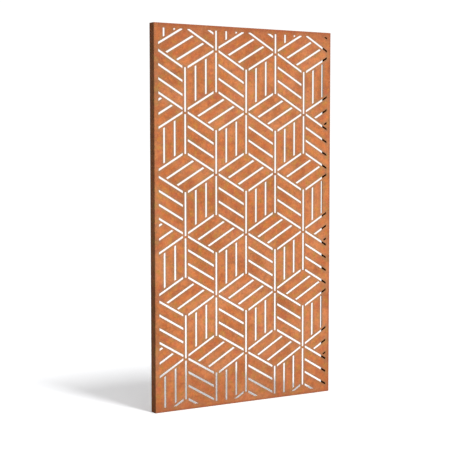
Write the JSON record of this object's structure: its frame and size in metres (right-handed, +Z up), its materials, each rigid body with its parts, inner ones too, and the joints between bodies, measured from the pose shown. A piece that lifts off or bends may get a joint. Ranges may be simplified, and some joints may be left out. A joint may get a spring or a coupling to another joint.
{
  "type": "corten steel screen panel",
  "caption": "Tall weathering-steel screen panel: a shallow folded tray whose face is cut through with straight slots that draw stacked, striped cubes.",
  "frame": {"origin": "on the rear face of the bottom lip, half way across the panel's width and in the middle of the lip's flat", "axes": "+X across the panel, to the right as the patterned face is looked at; +Y out of the open back, towards what the panel is fixed to; +Z up. The patterned face looks to -Y"},
  "size_m": [1.1, 0.05, 2],
  "materials": {
    "corten_steel": "matte"
  },
  "bodies": {
    "root": {"screen_panel": "corten_steel"}
  },
  "joints": []
}
